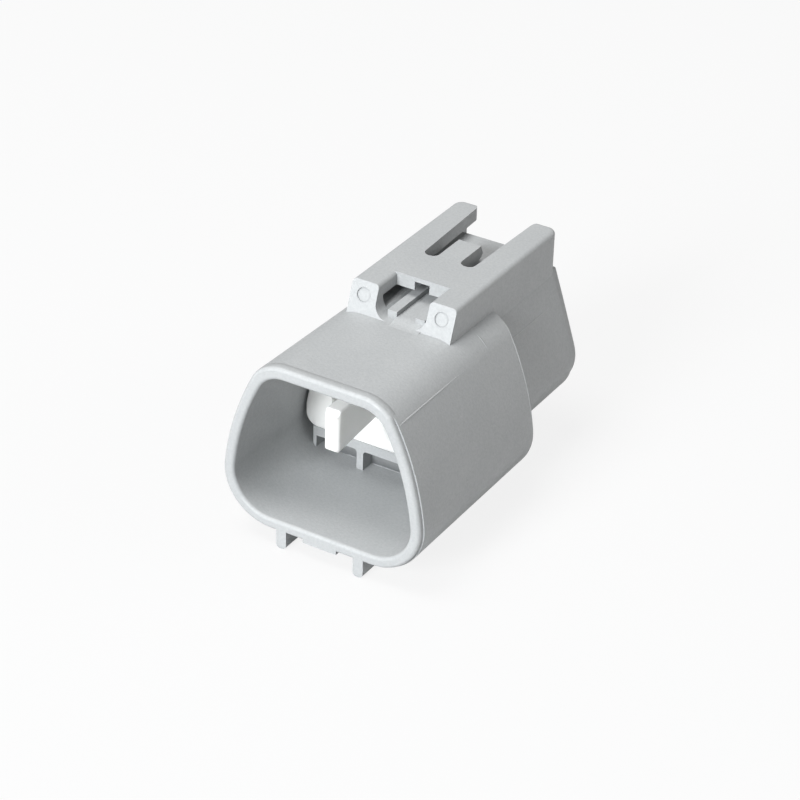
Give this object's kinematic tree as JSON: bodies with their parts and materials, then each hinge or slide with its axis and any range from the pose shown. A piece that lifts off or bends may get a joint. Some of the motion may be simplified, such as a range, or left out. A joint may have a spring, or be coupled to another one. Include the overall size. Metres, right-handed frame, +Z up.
{
  "type": "multi-pin cap connector",
  "caption": "Hooded plug-in wire connector with a tapered mouth, a white front terminal retainer, tab contacts, wire seals and a clip bracket on its roof.",
  "frame": {"origin": "middle of the mating mouth, in the plane of its rim", "axes": "-Y points out of the mouth along the mating direction, +Y to the wire side, +X to the right of a person looking into the mouth, +Z up to the clip bracket"},
  "size_m": [0.0242, 0.0383, 0.0247],
  "materials": {
    "housing_plastic": "matte",
    "retainer_plastic": "satin",
    "contact_metal": "tin plated",
    "seal_rubber": "matte"
  },
  "bodies": {
    "shell": {"housing": "housing_plastic"},
    "retainer": {"terminal_retainer": "retainer_plastic"},
    "terminal_1": {"contact_1": "contact_metal", "wire_seal_1": "seal_rubber"},
    "terminal_2": {"contact_2": "contact_metal", "wire_seal_2": "seal_rubber"},
    "terminal_3": {"contact_3": "contact_metal", "wire_seal_3": "seal_rubber"},
    "terminal_4": {"contact_4": "contact_metal", "wire_seal_4": "seal_rubber"},
    "terminal_5": {"contact_5": "contact_metal", "wire_seal_5": "seal_rubber"}
  },
  "joints": [
    {"name": "retainer_lock", "type": "slide", "parent": "shell", "child": "retainer", "axis": [0, 1, 0], "range_m": [0, 0.0012]},
    {"name": "terminal_1_insertion", "type": "slide", "parent": "shell", "child": "terminal_1", "axis": [0, -1, 0], "range_m": [0, 0.006]},
    {"name": "terminal_2_insertion", "type": "slide", "parent": "shell", "child": "terminal_2", "axis": [0, -1, 0], "range_m": [0, 0.006]},
    {"name": "terminal_3_insertion", "type": "slide", "parent": "shell", "child": "terminal_3", "axis": [0, -1, 0], "range_m": [0, 0.006]},
    {"name": "terminal_4_insertion", "type": "slide", "parent": "shell", "child": "terminal_4", "axis": [0, -1, 0], "range_m": [0, 0.006]},
    {"name": "terminal_5_insertion", "type": "slide", "parent": "shell", "child": "terminal_5", "axis": [0, -1, 0], "range_m": [0, 0.006]}
  ]
}
